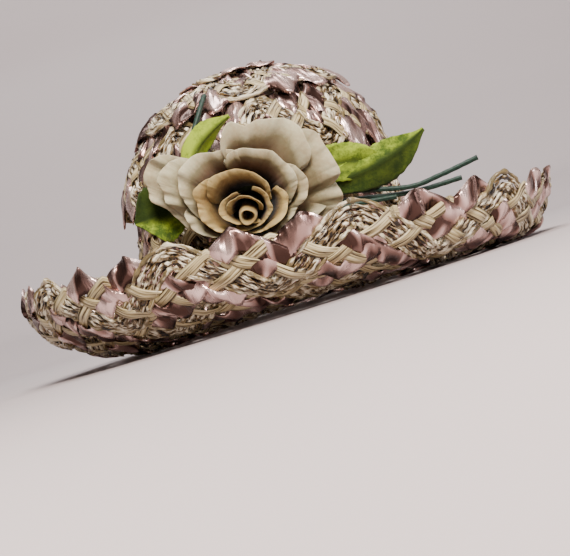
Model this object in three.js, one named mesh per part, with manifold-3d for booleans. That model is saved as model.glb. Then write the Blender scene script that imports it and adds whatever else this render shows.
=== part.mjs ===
import * as THREE from 'three';
import { mergeVertices } from 'three/addons/utils/BufferGeometryUtils.js';
import Module from 'manifold-3d';

// A breton hat of broad plaited braid, with its brim turned up all round, higher on the
// wearer's right. The braid is sewn row over row, and a fabric rose with leaves and
// wired stems sits against the front of the crown, inside the turned-up brim.
// Millimetres. +Z is up along the crown, -Y is the front, +X is the lower side of the brim.

const wasm = await Module();
wasm.setup();

// Driving sizes.
const BRAID_THICKNESS = 3;
const BRAID_LAP = 8;
const GAP = 0.3;
const HEAD_HALF_WIDTH = 85;
const OVAL = 10;
const CROWN_FOOT = BRAID_THICKNESS + GAP;
const FRONT_ARCH = 4;
const ARCH_FADE = 60;
const CROWN_LEAN = 0.02;
const PETAL_THICKNESS = 1;
const LEAF_THICKNESS = 1.2;
const STEM_DIAMETER = 3.2;
const FLOWER_HEIGHT = 38;
const FLOWER_BASE_RADIUS = 22;

// Each row of braid starts tucked under the row before it and ends lapped over the next,
// so its middle drifts from one side of the hat's mean surface to the other.
const ROW_DRIFT = (BRAID_THICKNESS + GAP) / 2;
const FOOT_MIDDLE = ROW_DRIFT + BRAID_THICKNESS / 2;

// The mean surface of the crown, from the middle of the tip down to the foot.
const CROWN_MERIDIAN = [
  { radius: 0, height: 159 },
  { radius: 24, height: 156.5 },
  { radius: 49, height: 147.5 },
  { radius: 65.5, height: 135 },
  { radius: 77, height: 118 },
  { radius: 83, height: 99 },
  { radius: 84.5, height: 75 },
  { radius: 85, height: 40 },
  { radius: 86.5, height: CROWN_FOOT },
];

// The mean surface of the brim, outwards from the head opening. The wearer's right rises
// in a bowl, the wearer's left stays flat and then turns up sharply.
const BRIM_SECTION = [
  { high: [85, FOOT_MIDDLE], low: [85, FOOT_MIDDLE] },
  { high: [94.5, FOOT_MIDDLE], low: [94.5, FOOT_MIDDLE] },
  { high: [103, FOOT_MIDDLE], low: [103, FOOT_MIDDLE] },
  { high: [114, 5.5], low: [127, FOOT_MIDDLE] },
  { high: [132, 12], low: [150, 4] },
  { high: [150, 22], low: [162, 7] },
  { high: [161, 33], low: [171, 15] },
  { high: [168, 46], low: [178.5, 26] },
  { high: [169.5, 57], low: [183, 36] },
  { high: [166, 66], low: [184, 40.5] },
];

// Rows of braid, as millimetres along the crown's meridian from the tip.
const CROWN_ROWS = [
  { name: 'crown_tip_row', from: 6, to: 34 },
  { name: 'crown_upper_row', from: 26, to: 80 },
  { name: 'crown_side_row', from: 72, to: 128 },
  { name: 'crown_lower_row', from: 120, to: 176 },
  { name: 'crown_foot_row', from: 168, to: 209 },
];

// Rows of braid, as millimetres across the brim from the head opening.
const BRIM_ROWS = [
  { name: 'brim_inner_row', from: 0, to: 47 },
  { name: 'brim_middle_row', from: 39, to: 83 },
  { name: 'brim_upturned_row', from: 75, to: 119 },
];

// The strands turn back at the brim's top edge in ten repeats of one cord loop and two
// ribbon corners. Place is the part of a repeat, and rise the height of the bump.
const EDGE_REPEATS = 10;
const EDGE_FIRST_LOOP = THREE.MathUtils.degToRad(15);
const EDGE_VALLEY = 9;
const EDGE_BUMPS = [
  { place: 0, rise: 9, halfWidth: 0.2 },
  { place: 0.375, rise: 8, halfWidth: 0.16 },
  { place: 0.737, rise: 8, halfWidth: 0.16 },
];
const ROW_ANGLE_STEPS = 48;
const EDGE_ANGLE_STEPS = 96;

// The flower spray is laid out as seen from the front: right, up and near are measured
// from the rose's heart along axes turned with the spray, and near is towards the front.
const SPRAY_TURN = THREE.MathUtils.degToRad(17.3);
const ROSE_NOD = THREE.MathUtils.degToRad(15);
const ROSE_HEART = new THREE.Vector3(-12, -144, 61);

// Petals, from the bud outwards. Turn is the direction of a petal's middle, spread its half
// angle, base its radius at the seat, reach its radius at the rim, and rise the rim's height.
const PETALS = [
  { name: 'rose_petal_bud_a', turn: 100, spread: 105, base: 6.6, reach: 11, rise: 37, ring: 'bud' },
  { name: 'rose_petal_bud_b', turn: 215, spread: 100, base: 8.0, reach: 14.5, rise: 36, ring: 'bud' },
  { name: 'rose_petal_bud_c', turn: 340, spread: 95, base: 9.4, reach: 17.5, rise: 35, ring: 'bud' },
  { name: 'rose_petal_inner_a', turn: 95, spread: 85, base: 10.8, reach: 23, rise: 34, ring: 'inner' },
  { name: 'rose_petal_inner_b', turn: 195, spread: 80, base: 12.2, reach: 26.5, rise: 33, ring: 'inner' },
  { name: 'rose_petal_inner_c', turn: 315, spread: 75, base: 13.6, reach: 29.2, rise: 32, ring: 'inner' },
  { name: 'rose_petal_middle_a', turn: 55, spread: 62, base: 15.0, reach: 34.5, rise: 30, ring: 'middle' },
  { name: 'rose_petal_middle_b', turn: 150, spread: 60, base: 16.4, reach: 38, rise: 28, ring: 'middle' },
  { name: 'rose_petal_middle_c', turn: 345, spread: 62, base: 16.4, reach: 38.6, rise: 27, ring: 'middle' },
  { name: 'rose_petal_middle_d', turn: 250, spread: 60, base: 17.8, reach: 41.5, rise: 25, ring: 'middle' },
  { name: 'rose_petal_outer_top', turn: 72, spread: 44, base: 17.8, reach: 52, rise: 24, ring: 'outer' },
  { name: 'rose_petal_outer_left', turn: 192, spread: 45, base: 19.2, reach: 51, rise: 21, ring: 'outer' },
  { name: 'rose_petal_outer_right', turn: 15, spread: 46, base: 19.2, reach: 56, rise: 20, ring: 'outer' },
  { name: 'rose_petal_rim_left', turn: 185, spread: 36, base: 20.6, reach: 59, rise: 15, ring: 'outer' },
  { name: 'rose_petal_rim_low', turn: 335, spread: 42, base: 20.6, reach: 59, rise: 15, ring: 'outer' },
];

// Each ring of petals opens about its own middle, which lies to the left of the rose's axis
// and above it.
const PETAL_RINGS = {
  bud: { left: 2, up: 5, tone: 'tan' },
  inner: { left: 6, up: 9, tone: 'tan' },
  middle: { left: 3, up: 12.5, tone: 'taupe' },
  outer: { left: 1, up: 18, tone: 'taupe' },
};

// Leaves: three points on the midrib as right, up, near, the widest width, how far along
// the blade that width lies, the height of the fold along the midrib, and the turn of the
// blade about it in degrees.
const LEAVES = [
  {
    name: 'leaf_upper_left',
    midrib: [[-12, 24, -36], [-56, 30, -40], [-12, 60, -40]],
    width: 22, widest: 0.6, fold: 4, roll: 15,
  },
  {
    name: 'leaf_lower_left',
    midrib: [[-17, 9, -39.4], [-44, 9, -46], [-68, -3, -34]],
    width: 36, widest: 0.7, fold: 2, roll: 10,
  },
  {
    name: 'leaf_right_back',
    midrib: [[13, 22, -36], [46, 36, -50], [84, 37, -50]],
    width: 23, widest: 0.62, fold: 3, roll: -5,
  },
  {
    name: 'leaf_right_front',
    midrib: [[18, 13, -37.8], [72, 18, -41], [104, 54, -46]],
    width: 27, widest: 0.7, fold: 6, roll: -8,
  },
];

// Wrapped wire stems, as points right, up, near.
const STEMS = [
  {
    name: 'stem_left',
    points: [[-9, 24, -35.6], [-30, 34, -48], [-35, 47, -54], [-31, 66, -60], [-28, 77, -66]],
  },
  {
    name: 'stem_upper',
    points: [[17, 8, -39.6], [59, 17, -50], [96, 20, -51], [115, 27, -50], [138, 38, -49]],
  },
  { name: 'stem_middle', points: [[17, 3, -41], [60, 12, -53.3], [98, 17, -55], [129, 26, -53]] },
  { name: 'stem_lower', points: [[14, -6, -43.2], [50, 6, -47], [75, 11.5, -46.5], [89, 14, -46]] },
];

const STRAW_COLOUR = 0xa08a68;
const STRAW_SHADE_COLOUR = 0x8f7860;
const TAN_COLOUR = 0xb09868;
const TAUPE_COLOUR = 0xbeb2a0;
const LEAF_COLOUR = 0x7f8f45;
const STEM_COLOUR = 0x2c4a38;

const hat = new THREE.Group();

// One point of an oval ring: angle 0 is the front and grows towards +X.
function aroundHead(radius, stretch, height, angle) {
  return new THREE.Vector3(radius * Math.sin(angle), -(radius + stretch) * Math.cos(angle), height);
}

const crownCurve = new THREE.SplineCurve(
  CROWN_MERIDIAN.map((row) => new THREE.Vector2(row.radius, row.height)),
);
const crownLength = crownCurve.getLength();
const highCurve = new THREE.SplineCurve(BRIM_SECTION.map((row) => new THREE.Vector2(...row.high)));
const lowCurve = new THREE.SplineCurve(BRIM_SECTION.map((row) => new THREE.Vector2(...row.low)));
const brimWidth = (highCurve.getLength() + lowCurve.getLength()) / 2;

// The front of the foot and the brim arches up off the surface that the hat rests on.
function frontArch(angle) {
  return FRONT_ARCH * Math.max(0, Math.cos(angle)) ** 2;
}

// The crown's mean surface, at a distance along the meridian from the tip. The crown leans
// a little to the wearer's left as it rises.
function crownPoint(along, angle) {
  const point = crownCurve.getPointAt(Math.min(1, along / crownLength));
  const nearFoot = Math.max(0, 1 - (point.y - CROWN_FOOT) / ARCH_FADE);
  const stretch = OVAL * Math.min(1, point.x / HEAD_HALF_WIDTH);
  const place = aroundHead(point.x, stretch, point.y + frontArch(angle) * nearFoot, angle);
  place.x += CROWN_LEAN * (point.y - CROWN_FOOT);
  return place;
}

// The brim's mean surface, at a distance from the head opening. The section passes from
// the high side's curve to the low side's with the sine of the angle.
function brimPoint(along, angle) {
  const part = Math.min(1, along / brimWidth);
  const point = highCurve.getPointAt(part).lerp(lowCurve.getPointAt(part), (1 + Math.sin(angle)) / 2);
  return aroundHead(point.x, OVAL, point.y + frontArch(angle), angle);
}

// The unit normal of a surface at a distance along its section and an angle.
const PROBE_LENGTH = 0.5;
const PROBE_ANGLE = 0.005;
function surfaceNormal(surface, along, angle) {
  const start = Math.max(0, along - PROBE_LENGTH);
  const down = surface(along + PROBE_LENGTH, angle).sub(surface(start, angle));
  const across = surface(along, angle + PROBE_ANGLE).sub(surface(along, angle - PROBE_ANGLE));
  return down.cross(across).normalize();
}

// A unit normal at each point of a grid, from the directions of its rows and columns.
function gridNormals(grid) {
  return grid.map((line, i) => line.map((_, j) => {
    const before = grid[Math.max(0, i - 1)][j];
    const after = grid[Math.min(grid.length - 1, i + 1)][j];
    const left = line[Math.max(0, j - 1)];
    const right = line[Math.min(line.length - 1, j + 1)];
    const down = after.clone().sub(before);
    return down.cross(right.clone().sub(left)).normalize();
  }));
}

// A closed solid between two grids of points, with walls along its open edges. A grid that
// wraps has no side edges, and one with a pole is closed by a fan at its first row.
function solidBetween(top, bottom, wraps, pole = false) {
  const rows = top.length;
  const columns = top[0].length;
  const points = [...top.flat(), ...bottom.flat()];
  const lower = rows * columns;
  const at = (i, j) => i * columns + (j % columns);
  const faces = [];
  const quad = (a, b, c, d) => faces.push(a, b, c, a, c, d);
  const cells = wraps ? columns : columns - 1;
  const last = rows - 1;
  for (let j = 0; j < cells; j += 1) {
    for (let i = 0; i < last; i += 1) {
      quad(at(i, j), at(i + 1, j), at(i + 1, j + 1), at(i, j + 1));
      quad(lower + at(i, j), lower + at(i, j + 1), lower + at(i + 1, j + 1), lower + at(i + 1, j));
    }
    quad(at(last, j + 1), at(last, j), lower + at(last, j), lower + at(last, j + 1));
    if (!pole) quad(at(0, j), at(0, j + 1), lower + at(0, j + 1), lower + at(0, j));
  }
  if (pole) {
    const middle = (line) => line.reduce((sum, p) => sum.add(p), new THREE.Vector3()).divideScalar(columns);
    points.push(middle(top[0]), middle(bottom[0]));
    for (let j = 0; j < cells; j += 1) {
      faces.push(2 * lower, at(0, j), at(0, j + 1));
      faces.push(2 * lower + 1, lower + at(0, j + 1), lower + at(0, j));
    }
  }
  if (!wraps) {
    const end = columns - 1;
    for (let i = 0; i < last; i += 1) {
      quad(at(i + 1, 0), at(i, 0), lower + at(i, 0), lower + at(i + 1, 0));
      quad(at(i, end), at(i + 1, end), lower + at(i + 1, end), lower + at(i, end));
    }
  }
  const geometry = new THREE.BufferGeometry().setFromPoints(points);
  geometry.setIndex(faces);
  return geometry;
}

// A grid moved along its normals, each line of it by its own amount.
function lifted(grid, normals, lifts) {
  return grid.map((line, i) => line.map(
    (point, j) => point.clone().addScaledVector(normals[i][j], lifts[i]),
  ));
}

// A thin sheet with open sides, given a thickness about its middle.
function sheetSolid(grid, thickness) {
  const normals = gridNormals(grid);
  const top = lifted(grid, normals, grid.map(() => thickness / 2));
  const bottom = lifted(grid, normals, grid.map(() => -thickness / 2));
  return solidBetween(top, bottom, false);
}

// A row of braid on a mean surface. Its stations fall on the ends of both laps, so lapped
// rows share their facets. The end may be trimmed by an amount that changes with the angle.
const ROW_LIFTS = [-ROW_DRIFT, -ROW_DRIFT, 0, ROW_DRIFT, ROW_DRIFT];
const TRIM_SHARES = [0, 0, 0.2, 0.6, 1];
function braidRow(surface, row, extra = 0, angleSteps = ROW_ANGLE_STEPS, trim = () => 0, pole = false) {
  const middle = (row.from + row.to) / 2;
  const stations = [row.from, row.from + BRAID_LAP, middle, row.to - BRAID_LAP, row.to];
  const angles = Array.from({ length: angleSteps }, (_, j) => (j / angleSteps) * 2 * Math.PI);
  const places = stations.map(
    (along, i) => angles.map((angle) => [along - trim(angle) * TRIM_SHARES[i], angle]),
  );
  const grid = places.map((line) => line.map(([along, angle]) => surface(along, angle)));
  const normals = places.map((line) => line.map(([along, angle]) => surfaceNormal(surface, along, angle)));
  const half = BRAID_THICKNESS / 2 + extra;
  const top = lifted(grid, normals, ROW_LIFTS.map((lift) => lift + half));
  const bottom = lifted(grid, normals, ROW_LIFTS.map((lift) => lift - half));
  return solidBetween(top, bottom, true, pole);
}

// How far the top edge falls below its highest loops at an angle.
function edgeTrim(angle) {
  const repeat = ((angle - EDGE_FIRST_LOOP) / (2 * Math.PI)) * EDGE_REPEATS;
  const heights = EDGE_BUMPS.map((bump) => {
    const away = Math.abs(repeat - bump.place - Math.round(repeat - bump.place));
    return bump.rise * Math.max(0, 1 - (away / bump.halfWidth) ** 2);
  });
  return EDGE_VALLEY - Math.max(...heights);
}

function addPiece(name, geometry, colour, roughness, metalness = 0) {
  geometry.computeVertexNormals();
  const material = new THREE.MeshStandardMaterial({ color: colour, roughness, metalness });
  const mesh = new THREE.Mesh(geometry, material);
  mesh.name = name;
  hat.add(mesh);
}

function toManifold(geometry) {
  const bare = geometry.clone();
  bare.deleteAttribute('normal');
  bare.deleteAttribute('uv');
  const merged = mergeVertices(bare, 1e-4);
  return new wasm.Manifold(new wasm.Mesh({
    numProp: 3,
    vertProperties: new Float32Array(merged.attributes.position.array),
    triVerts: new Uint32Array(merged.index.array),
  }));
}

function toGeometry(manifold) {
  const mesh = manifold.getMesh();
  const geometry = new THREE.BufferGeometry();
  geometry.setAttribute('position', new THREE.BufferAttribute(new Float32Array(mesh.vertProperties), 3));
  geometry.setIndex(new THREE.BufferAttribute(new Uint32Array(mesh.triVerts), 1));
  return geometry;
}

// The braid rows of the crown and the brim.
CROWN_ROWS.forEach((row, index) => {
  const geometry = braidRow(crownPoint, row, 0, ROW_ANGLE_STEPS, undefined, index === 0);
  addPiece(row.name, geometry, index % 2 ? STRAW_COLOUR : STRAW_SHADE_COLOUR, 0.75);
});
BRIM_ROWS.forEach((row, index) => {
  const turnedUp = row.name === 'brim_upturned_row';
  const geometry = turnedUp
    ? braidRow(brimPoint, row, 0, EDGE_ANGLE_STEPS, edgeTrim)
    : braidRow(brimPoint, row);
  addPiece(row.name, geometry, index % 2 ? STRAW_COLOUR : STRAW_SHADE_COLOUR, 0.75);
});

// The spray's axes, and the rose's own axes, which nod forward and down from them.
const sprayRight = new THREE.Vector3(Math.cos(SPRAY_TURN), 0, -Math.sin(SPRAY_TURN));
const sprayUp = new THREE.Vector3(Math.sin(SPRAY_TURN), 0, Math.cos(SPRAY_TURN));
const sprayNear = new THREE.Vector3(0, -1, 0);
const roseAxis = sprayNear.clone().applyAxisAngle(sprayRight, ROSE_NOD);
const roseUp = sprayUp.clone().applyAxisAngle(sprayRight, ROSE_NOD);
const roseSeat = ROSE_HEART.clone().addScaledVector(roseAxis, -FLOWER_HEIGHT);

function sprayPoint([right, up, near]) {
  return ROSE_HEART.clone()
    .addScaledVector(sprayRight, right)
    .addScaledVector(sprayUp, up)
    .addScaledVector(sprayNear, near);
}

// A point in the rose's frame: distance to the right, up and out along its axis.
function rosePoint(right, up, out) {
  return roseSeat.clone()
    .addScaledVector(sprayRight, right)
    .addScaledVector(roseUp, up)
    .addScaledVector(roseAxis, out);
}

// Turned profiles stand on the rose's seat: points are radius and distance along the axis.
function turnedOnSeat(profile, sides) {
  const outline = profile.map(([radius, out]) => new THREE.Vector2(radius, out));
  const geometry = new THREE.LatheGeometry(outline, sides);
  geometry.applyMatrix4(new THREE.Matrix4().makeBasis(sprayRight, roseAxis, roseUp.clone().negate()));
  geometry.translate(roseSeat.x, roseSeat.y, roseSeat.z);
  return geometry;
}

// The stiffened seat that the petals are wound on, with its neck cut to the crown.
const NECK_RADIUS = 6;
const NECK_LENGTH = 12.6;
const SEAT_DEPTH = 5;
const SEAT_SIDES = 18;
function seatProfile(extra) {
  return [
    [0, -NECK_LENGTH - extra],
    [NECK_RADIUS + extra, -NECK_LENGTH - extra],
    [NECK_RADIUS + extra, -SEAT_DEPTH - extra],
    [FLOWER_BASE_RADIUS + extra, -SEAT_DEPTH + 1 - extra],
    [FLOWER_BASE_RADIUS + extra, extra],
    [0, extra],
  ];
}
const crownWalls = CROWN_ROWS.filter((row) => row.name !== 'crown_tip_row')
  .map((row) => toManifold(braidRow(crownPoint, row, GAP)))
  .reduce((sum, wall) => sum.add(wall));
const roseSeatSolid = toManifold(turnedOnSeat(seatProfile(0), SEAT_SIDES)).subtract(crownWalls);
addPiece('rose_seat', toGeometry(roseSeatSolid), STEM_COLOUR, 0.9);
const seatClearance = toManifold(turnedOnSeat(seatProfile(GAP), SEAT_SIDES));

// The rolled heart: a tight tube of fabric with a hole in its end.
const HEART_RADIUS = 5.4;
const HEART_HOLE = 2.4;
const HEART_HOLE_DEPTH = 16;
addPiece('rose_heart', turnedOnSeat([
  [0, GAP],
  [HEART_RADIUS - 0.4, GAP],
  [HEART_RADIUS, FLOWER_HEIGHT - 4],
  [HEART_RADIUS - 0.6, FLOWER_HEIGHT],
  [HEART_HOLE, FLOWER_HEIGHT - 1],
  [HEART_HOLE - 0.8, FLOWER_HEIGHT - HEART_HOLE_DEPTH],
  [0, FLOWER_HEIGHT - HEART_HOLE_DEPTH],
], 14), TAN_COLOUR, 0.8);

// A petal starts as an upright strip on the seat and opens outwards to its rim. Its corners
// are rounded. The rim is flattened a little from top to bottom and carried to its ring's
// own middle.
const PETAL_STEPS = 4;
const PETAL_LIFT = 0.5;
const PETAL_CURVE = 1.9;
const PETAL_STEEPNESS = 1.5;
const PETAL_CORNER = 0.3;
const PETAL_FLATTENING = 0.2;
function petalGrid(petal) {
  const ring = PETAL_RINGS[petal.ring];
  const columns = Math.max(6, Math.round(petal.spread / 13));
  const grid = [];
  for (let i = 0; i <= PETAL_STEPS; i += 1) {
    const line = [];
    for (let j = 0; j <= columns; j += 1) {
      const side = (2 * j) / columns - 1;
      const angle = THREE.MathUtils.degToRad(petal.turn + side * petal.spread);
      const part = (i / PETAL_STEPS) * (1 - PETAL_CORNER * side ** 4);
      const opening = part ** PETAL_CURVE;
      const radius = petal.base + (petal.reach - petal.base) * opening;
      const out = PETAL_LIFT + petal.rise * (1 - (1 - part) ** PETAL_STEEPNESS);
      const right = radius * Math.cos(angle) - ring.left * opening;
      const up = radius * Math.sin(angle) * (1 - PETAL_FLATTENING * opening) + ring.up * opening;
      line.push(rosePoint(right, up, out));
    }
    grid.push(line);
  }
  return grid;
}
PETALS.forEach((petal) => {
  const grid = petalGrid(petal);
  const colour = PETAL_RINGS[petal.ring].tone === 'tan' ? TAN_COLOUR : TAUPE_COLOUR;
  addPiece(petal.name, sheetSolid(grid, PETAL_THICKNESS), colour, 0.8);
});

// A leaf is a blade along a bent midrib, narrow at its stalk and pointed at its tip.
const LEAF_STEPS = 9;
const LEAF_COLUMNS = 4;
const STALK_HALF_WIDTH = 1.2;
const STALK_PART = 0.22;
const LEAF_FULLNESS = 0.8;
function leafGeometry(leaf) {
  const midrib = new THREE.QuadraticBezierCurve3(...leaf.midrib.map(sprayPoint));
  const roll = THREE.MathUtils.degToRad(leaf.roll);
  const grid = [];
  for (let i = 0; i <= LEAF_STEPS; i += 1) {
    const part = i / LEAF_STEPS;
    const along = midrib.getTangentAt(part);
    const sideways = along.clone().cross(sprayNear).normalize();
    sideways.applyAxisAngle(along, roll * part);
    const face = sideways.clone().cross(along).normalize();
    const blade = Math.max(0, (part - STALK_PART) / (1 - STALK_PART));
    const peak = (leaf.widest - STALK_PART) / (1 - STALK_PART);
    const bend = Math.log(0.5) / Math.log(peak);
    const fullness = Math.sin(Math.PI * blade ** bend) ** LEAF_FULLNESS;
    const half = STALK_HALF_WIDTH + (leaf.width / 2 - STALK_HALF_WIDTH) * fullness;
    const line = [];
    for (let j = 0; j <= LEAF_COLUMNS; j += 1) {
      const side = (2 * j) / LEAF_COLUMNS - 1;
      const lift = leaf.fold * Math.abs(side) * Math.sin(Math.PI * blade);
      line.push(midrib.getPointAt(part).addScaledVector(sideways, side * half).addScaledVector(face, lift));
    }
    grid.push(line);
  }
  return sheetSolid(grid, LEAF_THICKNESS);
}
LEAVES.forEach((leaf) => {
  const solid = toManifold(leafGeometry(leaf)).subtract(seatClearance);
  addPiece(leaf.name, toGeometry(solid), LEAF_COLOUR, 0.85);
});

// A stem is a round wire wrapped in paper, carried along its points.
const STEM_SIDES = 8;
const STEM_STEP = 11;
function stemGeometry(stem) {
  const outline = new THREE.Shape();
  for (let k = 0; k < STEM_SIDES; k += 1) {
    const turn = (k / STEM_SIDES) * 2 * Math.PI;
    const x = (STEM_DIAMETER / 2) * Math.cos(turn);
    const y = (STEM_DIAMETER / 2) * Math.sin(turn);
    if (k === 0) outline.moveTo(x, y);
    else outline.lineTo(x, y);
  }
  outline.closePath();
  const path = new THREE.CatmullRomCurve3(stem.points.map(sprayPoint));
  const steps = Math.ceil(path.getLength() / STEM_STEP);
  return new THREE.ExtrudeGeometry(outline, { steps, extrudePath: path, curveSegments: 1 });
}
STEMS.forEach((stem) => {
  const solid = toManifold(stemGeometry(stem)).subtract(seatClearance);
  addPiece(stem.name, toGeometry(solid), STEM_COLOUR, 0.7);
});

// The origin is the middle of the whole hat's outline, on the surface it stands on.
const middle = new THREE.Box3().setFromObject(hat).getCenter(new THREE.Vector3());
hat.position.set(-middle.x, -middle.y, 0);

export default hat;
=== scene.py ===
import bpy
import numpy as np
from mathutils import Matrix


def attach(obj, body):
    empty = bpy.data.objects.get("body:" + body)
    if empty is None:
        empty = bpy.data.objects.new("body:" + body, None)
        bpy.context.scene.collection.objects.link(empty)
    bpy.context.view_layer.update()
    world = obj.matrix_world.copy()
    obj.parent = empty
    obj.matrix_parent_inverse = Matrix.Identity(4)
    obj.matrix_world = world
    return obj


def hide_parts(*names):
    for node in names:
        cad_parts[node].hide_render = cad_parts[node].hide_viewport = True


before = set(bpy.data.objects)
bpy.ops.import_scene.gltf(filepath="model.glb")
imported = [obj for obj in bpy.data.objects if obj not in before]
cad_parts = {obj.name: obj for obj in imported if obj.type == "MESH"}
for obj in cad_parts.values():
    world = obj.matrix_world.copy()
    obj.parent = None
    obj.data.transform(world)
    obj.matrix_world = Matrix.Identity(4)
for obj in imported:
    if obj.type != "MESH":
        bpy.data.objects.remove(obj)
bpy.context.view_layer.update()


# Camera: level, straight at the front, and rolled so that the hat tilts as it does in the
# photograph.
ROLL = np.radians(17.3)
CAMERA_PLACE = (-0.009, -1.2, 0.021)
camera_data = bpy.data.cameras.new("camera")
camera_data.sensor_width = 36
camera_data.lens = 115.3
camera_data.clip_start = 0.05
camera_data.clip_end = 30
camera = bpy.data.objects.new("camera", camera_data)
camera.matrix_world = Matrix((
    (np.cos(ROLL), np.sin(ROLL), 0, CAMERA_PLACE[0]),
    (0, 0, -1, CAMERA_PLACE[1]),
    (-np.sin(ROLL), np.cos(ROLL), 0, CAMERA_PLACE[2]),
    (0, 0, 0, 1),
))
bpy.context.scene.collection.objects.link(camera)
bpy.context.scene.camera = camera


# Studio: one sheet of seamless grey paper, flat under the hat and swept up behind it,
# lit by large soft lamps.
def to_linear(code):
    """An sRGB hex colour as linear red, green, blue and alpha, by the sRGB curve."""
    c = np.array([int(code[i:i + 2], 16) for i in (1, 3, 5)]) / 255
    c = np.where(c <= 0.04045, c / 12.92, ((c + 0.055) / 1.055) ** 2.4)
    return (*c.tolist(), 1.0)


def add_node(material, kind, values=(), links=(), **settings):
    """Adds a node of that kind with its settings, its unlinked values and its links."""
    node = material.node_tree.nodes.new(kind)
    for key, value in settings.items():
        setattr(node, key, value)
    for key, value in dict(values).items():
        node.inputs[key].default_value = value
    for key, socket in dict(links).items():
        material.node_tree.links.new(socket, node.inputs[key])
    return node


def new_finish(name, **values):
    """A material with its Principled shader's own values, and that shader."""
    material = bpy.data.materials.new(name)
    material.use_nodes = True
    shader = material.node_tree.nodes["Principled BSDF"]
    for key, value in values.items():
        shader.inputs[key.replace("_", " ")].default_value = value
    return material, shader


def grid_faces(rows, columns, close_rows, close_columns, first=0):
    """Quads between neighbours of a grid of points, wrapped round where it closes."""
    i, j = np.meshgrid(
        np.arange(rows if close_rows else rows - 1),
        np.arange(columns if close_columns else columns - 1), indexing="ij")
    i, j = i.ravel(), j.ravel()
    k, l = (i + 1) % rows, (j + 1) % columns
    return first + np.stack([i * columns + j, k * columns + j, k * columns + l, i * columns + l], 1)


# Pieces are worked out in millimetres in the hat's frame, and turned to metres in add_mesh.
MM = 0.001


def add_mesh(name, points, faces, finishes, finish_of_face=None, lay=None):
    """A shaded mesh object of points in mm; lay is a vector kept at each point."""
    mesh = bpy.data.meshes.new(name)
    mesh.from_pydata((np.asarray(points) * MM).tolist(), [], [list(f) for f in faces])
    for finish in finishes:
        mesh.materials.append(finish)
    mesh.polygons.foreach_set("use_smooth", np.ones(len(mesh.polygons), bool))
    if finish_of_face is not None:
        mesh.polygons.foreach_set("material_index", np.asarray(finish_of_face, np.int32))
    if lay is not None:
        mesh.attributes.new("lay", "FLOAT_VECTOR", "POINT").data.foreach_set(
            "vector", np.asarray(lay, np.float32).ravel())
    mesh.update()
    piece = bpy.data.objects.new(name, mesh)
    bpy.context.scene.collection.objects.link(piece)
    return piece


SWEEP_PROFILE = np.array([
    [-1500, 0], [1500, 0], [1900, 60], [2200, 260], [2380, 560], [2440, 900], [2440, 2600]])
SWEEP_ROWS, SWEEP_COLUMNS, SWEEP_HALF_WIDTH = 60, 12, 2600
along = np.linspace(0, len(SWEEP_PROFILE) - 1, SWEEP_ROWS)
across = np.linspace(-SWEEP_HALF_WIDTH, SWEEP_HALF_WIDTH, SWEEP_COLUMNS)
sweep_y = np.interp(along, np.arange(len(SWEEP_PROFILE)), SWEEP_PROFILE[:, 0])
sweep_z = np.interp(along, np.arange(len(SWEEP_PROFILE)), SWEEP_PROFILE[:, 1])
sweep_x, sweep_y = np.meshgrid(across, sweep_y)
sweep_z = np.repeat(sweep_z[:, None], len(across), 1)
# Paper: matt, with a grain drawn about 1 mm coarse, which is as fine as can show.
paper, paper_shader = new_finish("seamless_paper", Roughness=0.9, Base_Color=to_linear("#b1a6a6"))
grain = add_node(paper, "ShaderNodeTexNoise", {"Scale": 900.0, "Detail": 2.0},
                 {"Vector": add_node(paper, "ShaderNodeTexCoord").outputs["Object"]})
grain_bump = add_node(paper, "ShaderNodeBump", {"Strength": 0.05, "Distance": 0.0002},
                      {"Height": grain.outputs["Fac"]})
paper.node_tree.links.new(grain_bump.outputs["Normal"], paper_shader.inputs["Normal"])
backdrop = add_mesh(
    "backdrop", np.stack([sweep_x, sweep_y, sweep_z], -1).reshape(-1, 3),
    grid_faces(SWEEP_ROWS, SWEEP_COLUMNS, False, False)[:, ::-1], [paper])

# Lamps, as place in metres, aim, width, power and colour.
LAMPS = [
    ("key_softbox", (0.15, -1.35, 1.0), (0, 0, 0.06), 0.5, 61, "#fff6ee"),
    ("fill_softbox", (1.2, -1.1, 0.5), (0, 0, 0.06), 0.6, 10, "#f8f6fc"),
    ("top_softbox", (0.0, 0.2, 1.5), (0, 0, 0.05), 0.6, 3.5, "#ffffff"),
    ("backdrop_wash", (0.0, 0.9, 2.2), (0, 2.4, 0.2), 1.6, 80, "#ffffff"),
]
for name, place, aim, width, power, tint in LAMPS:
    lamp_data = bpy.data.lights.new(name, "AREA")
    lamp_data.shape = "SQUARE"
    lamp_data.size = width
    lamp_data.energy = power
    lamp_data.color = to_linear(tint)[:3]
    lamp = bpy.data.objects.new(name, lamp_data)
    toward = np.array(aim, float) - np.array(place, float)
    back = -toward / np.linalg.norm(toward)
    side = np.cross([0, 0, 1], back)
    side /= np.linalg.norm(side)
    up = np.cross(back, side)
    lamp.matrix_world = Matrix((
        (side[0], up[0], back[0], place[0]),
        (side[1], up[1], back[1], place[1]),
        (side[2], up[2], back[2], place[2]),
        (0, 0, 0, 1),
    ))
    bpy.context.scene.collection.objects.link(lamp)
world = bpy.data.worlds.new("studio")
world.use_nodes = True
world.node_tree.nodes["Background"].inputs["Color"].default_value = to_linear("#e9e6e6")
world.node_tree.nodes["Background"].inputs["Strength"].default_value = 0.06
bpy.context.scene.world = world


# Braid: the crown and the brim are sewn from one broad plait of five strands: a bundle of
# twisted straw cords, two satin ribbons and two raffia bands, each crossing the others
# over and under and turning back at both edges. The rows are lapped and stitched.
AXIS = np.array([-7.12, -0.07, 0])
OVAL = 10.0
OPENING_HALF_WIDTH = 85.0
FRONT_ARCH, ARCH_FADE = 4.0, 60.0
CROWN_FOOT, CROWN_LEAN = 3.3, 0.02
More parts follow.
